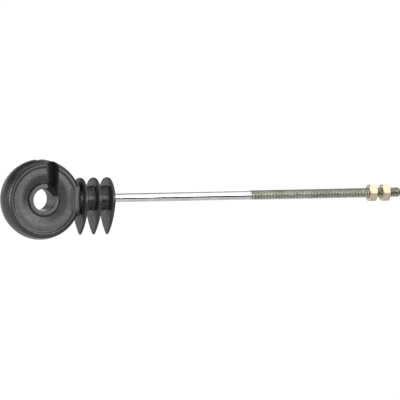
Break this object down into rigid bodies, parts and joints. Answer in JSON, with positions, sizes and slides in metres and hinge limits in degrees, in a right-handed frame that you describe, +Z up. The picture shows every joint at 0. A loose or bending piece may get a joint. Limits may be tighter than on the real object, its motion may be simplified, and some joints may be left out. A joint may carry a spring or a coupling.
{
  "type": "ring insulator",
  "caption": "Black plastic ring insulator for electric fence wire, with overlapping entry slots, drip sheds and a long steel rod threaded for clamping nuts.",
  "frame": {"origin": "centre of the wire eye, in the middle of the ring's thickness", "axes": "+X along the rod from the ring to its threaded end, +Z up with the entry slots at the top and the noses of the sheds hanging down, -Y out of the ring's front face"},
  "size_m": [0.2623, 0.027, 0.05],
  "materials": {
    "black_plastic": "satin moulded, dark grey to black",
    "bright_zinc": "bright zinc plate",
    "yellow_zinc": "pale yellow passivated zinc plate"
  },
  "bodies": {
    "insulator": {"insulator_body": "black_plastic", "threaded_rod": "bright_zinc"},
    "inner_nut": {"inner_nut": "yellow_zinc"},
    "outer_nut": {"outer_nut": "yellow_zinc"}
  },
  "joints": [
    {"name": "inner_nut_travel", "type": "slide", "parent": "insulator", "child": "inner_nut", "axis": [1, 0, 0], "range_m": [-0.078, 0.001]},
    {"name": "outer_nut_travel", "type": "slide", "parent": "insulator", "child": "outer_nut", "axis": [1, 0, 0], "range_m": [-0.001, 0.006]}
  ]
}
